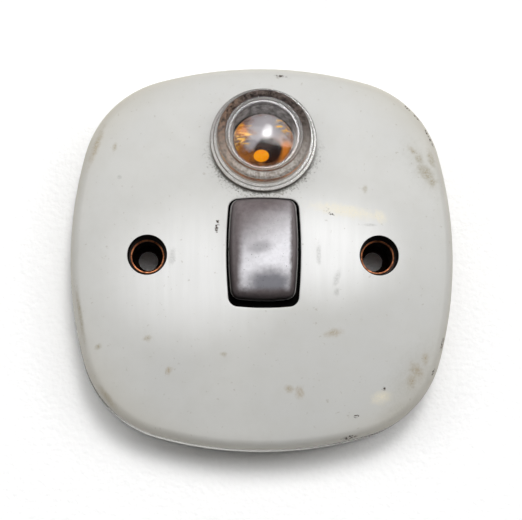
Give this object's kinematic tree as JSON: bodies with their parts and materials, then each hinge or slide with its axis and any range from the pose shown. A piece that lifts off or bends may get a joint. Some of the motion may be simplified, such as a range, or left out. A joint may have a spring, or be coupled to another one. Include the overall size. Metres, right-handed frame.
{
  "type": "wall switch",
  "caption": "Surface wall switch with a domed rounded-square cover, a dark rocker key that tips between its stops, and a clear stepped pilot-lamp lens above the key",
  "frame": {"origin": "middle of the back, in the plane of the wall that the cover's rim lies on", "axes": "+Z out of the face, +Y up the wall toward the lamp lens, +X to the right as seen from the front"},
  "size_m": [0.086, 0.086, 0.0227],
  "materials": {
    "finish": "aged off-white sprayed finish",
    "key": "dark brown-grey satin phenolic",
    "phenolic": "brown moulded phenolic",
    "brass": "plain brass",
    "copper": "copper-coloured metal",
    "silver": "silver contact metal",
    "steel": "plated steel",
    "clear": "clear moulded lens",
    "amber": "amber lamp glass",
    "lead": "red rubber insulation",
    "porcelain": "glazed off-white insulator"
  },
  "bodies": {
    "switch": {"cover": "finish", "cover_inserts": "brass", "cover_screws": "steel", "base": "phenolic", "fixing_ferrule_left": "copper", "fixing_ferrule_right": "copper", "rocker_pin_left": "steel", "rocker_pin_right": "steel", "saddle_left": "brass", "saddle_right": "brass", "fixed_contact_left": "brass", "fixed_contact_right": "brass", "fixed_tip_left": "silver", "fixed_tip_right": "silver", "terminal_line_in": "brass", "terminal_line_out": "brass", "terminal_neutral_in": "brass", "terminal_neutral_out": "brass", "clamp_screws": "steel", "terminal_screws": "steel", "lens": "clear", "lens_retaining_ring": "phenolic", "lamp_glass": "amber", "lamp_cap": "brass", "lamp_electrodes": "silver", "lampholder_shell": "brass", "lampholder_insulator": "porcelain", "lampholder_contact": "brass", "lamp_lead_line": "lead", "lamp_lead_neutral": "lead"},
    "rocker": {"rocker": "key", "plunger_left": "brass", "plunger_right": "brass", "plunger_spring_left": "steel", "plunger_spring_right": "steel"},
    "seesaw_left": {"seesaw_left": "copper", "moving_tip_left": "silver"},
    "seesaw_right": {"seesaw_right": "copper", "moving_tip_right": "silver"}
  },
  "joints": [
    {"name": "rocker_tilt", "type": "hinge", "parent": "switch", "child": "rocker", "pos_m": [0, 0.0015, 0.0143], "axis": [-1, 0, 0], "range_deg": [0, 13]},
    {"name": "seesaw_left_swing", "type": "hinge", "parent": "switch", "child": "seesaw_left", "pos_m": [-0.0042, 0.0015, 0.0076], "axis": [1, 0, 0], "range_deg": [0, 12]},
    {"name": "seesaw_right_swing", "type": "hinge", "parent": "switch", "child": "seesaw_right", "pos_m": [0.0042, 0.0015, 0.0076], "axis": [1, 0, 0], "range_deg": [0, 12]}
  ],
  "couplings": [
    {"joint": "seesaw_left_swing", "follows": "rocker_tilt", "ratio": 0.923},
    {"joint": "seesaw_right_swing", "follows": "rocker_tilt", "ratio": 0.923}
  ]
}
